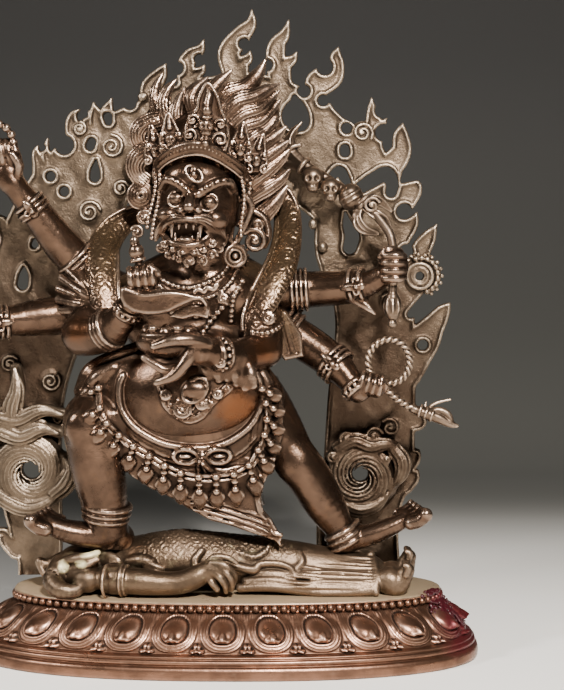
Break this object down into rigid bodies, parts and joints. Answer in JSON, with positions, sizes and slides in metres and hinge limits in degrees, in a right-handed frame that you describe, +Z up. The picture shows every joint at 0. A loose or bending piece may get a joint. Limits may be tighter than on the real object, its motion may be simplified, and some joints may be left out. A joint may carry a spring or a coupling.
{
  "type": "mahakala figure",
  "caption": "Cast bronze six-armed guardian figure standing on a prone figure, on an oval lotus plinth, before an openwork flame aureole.",
  "frame": {"origin": "centre of the plinth's underside", "axes": "+Z up, the figure faces -Y, and +X is to the right of a viewer who faces the figure"},
  "size_m": [0.1782, 0.0804, 0.2217],
  "materials": {
    "plinth_bronze": "worn coppery brown patina, semi-gloss",
    "prone_bronze": "dull brown patina, satin",
    "figure_bronze": "rubbed dark brown patina, semi-gloss",
    "flame_bronze": "grey-brown cast grain, satin",
    "implement_bronze": "grey-brown patina, semi-gloss"
  },
  "bodies": {
    "root": {"lotus_plinth": "plinth_bronze", "prone_figure": "prone_bronze", "mahakala_figure": "figure_bronze", "flame_aureole": "flame_bronze", "trident_staff": "implement_bronze", "noose": "implement_bronze"}
  },
  "joints": []
}
